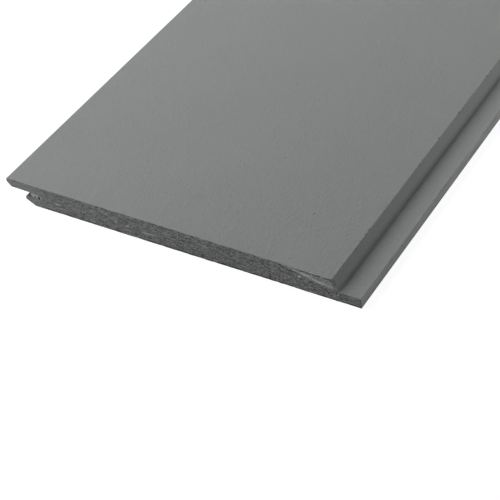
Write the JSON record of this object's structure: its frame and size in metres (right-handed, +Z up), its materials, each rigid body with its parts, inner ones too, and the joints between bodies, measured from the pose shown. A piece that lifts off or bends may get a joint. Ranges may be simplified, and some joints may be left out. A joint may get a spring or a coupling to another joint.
{
  "type": "tongue and groove board",
  "caption": "Flat painted fibre-cement cladding board with a slotted lip along one long edge and a bevelled shoulder and tongue along the other, for locking boards side by side.",
  "frame": {"origin": "centre of the board's back, on the surface that it lies on", "axes": "+Z up out of the painted face, +Y along the length away from the pictured end, +X across the width towards the tongue"},
  "size_m": [0.186, 3.6, 0.012],
  "materials": {
    "painted_fibre_cement": "matte"
  },
  "bodies": {
    "root": {"board": "painted_fibre_cement"}
  },
  "joints": []
}
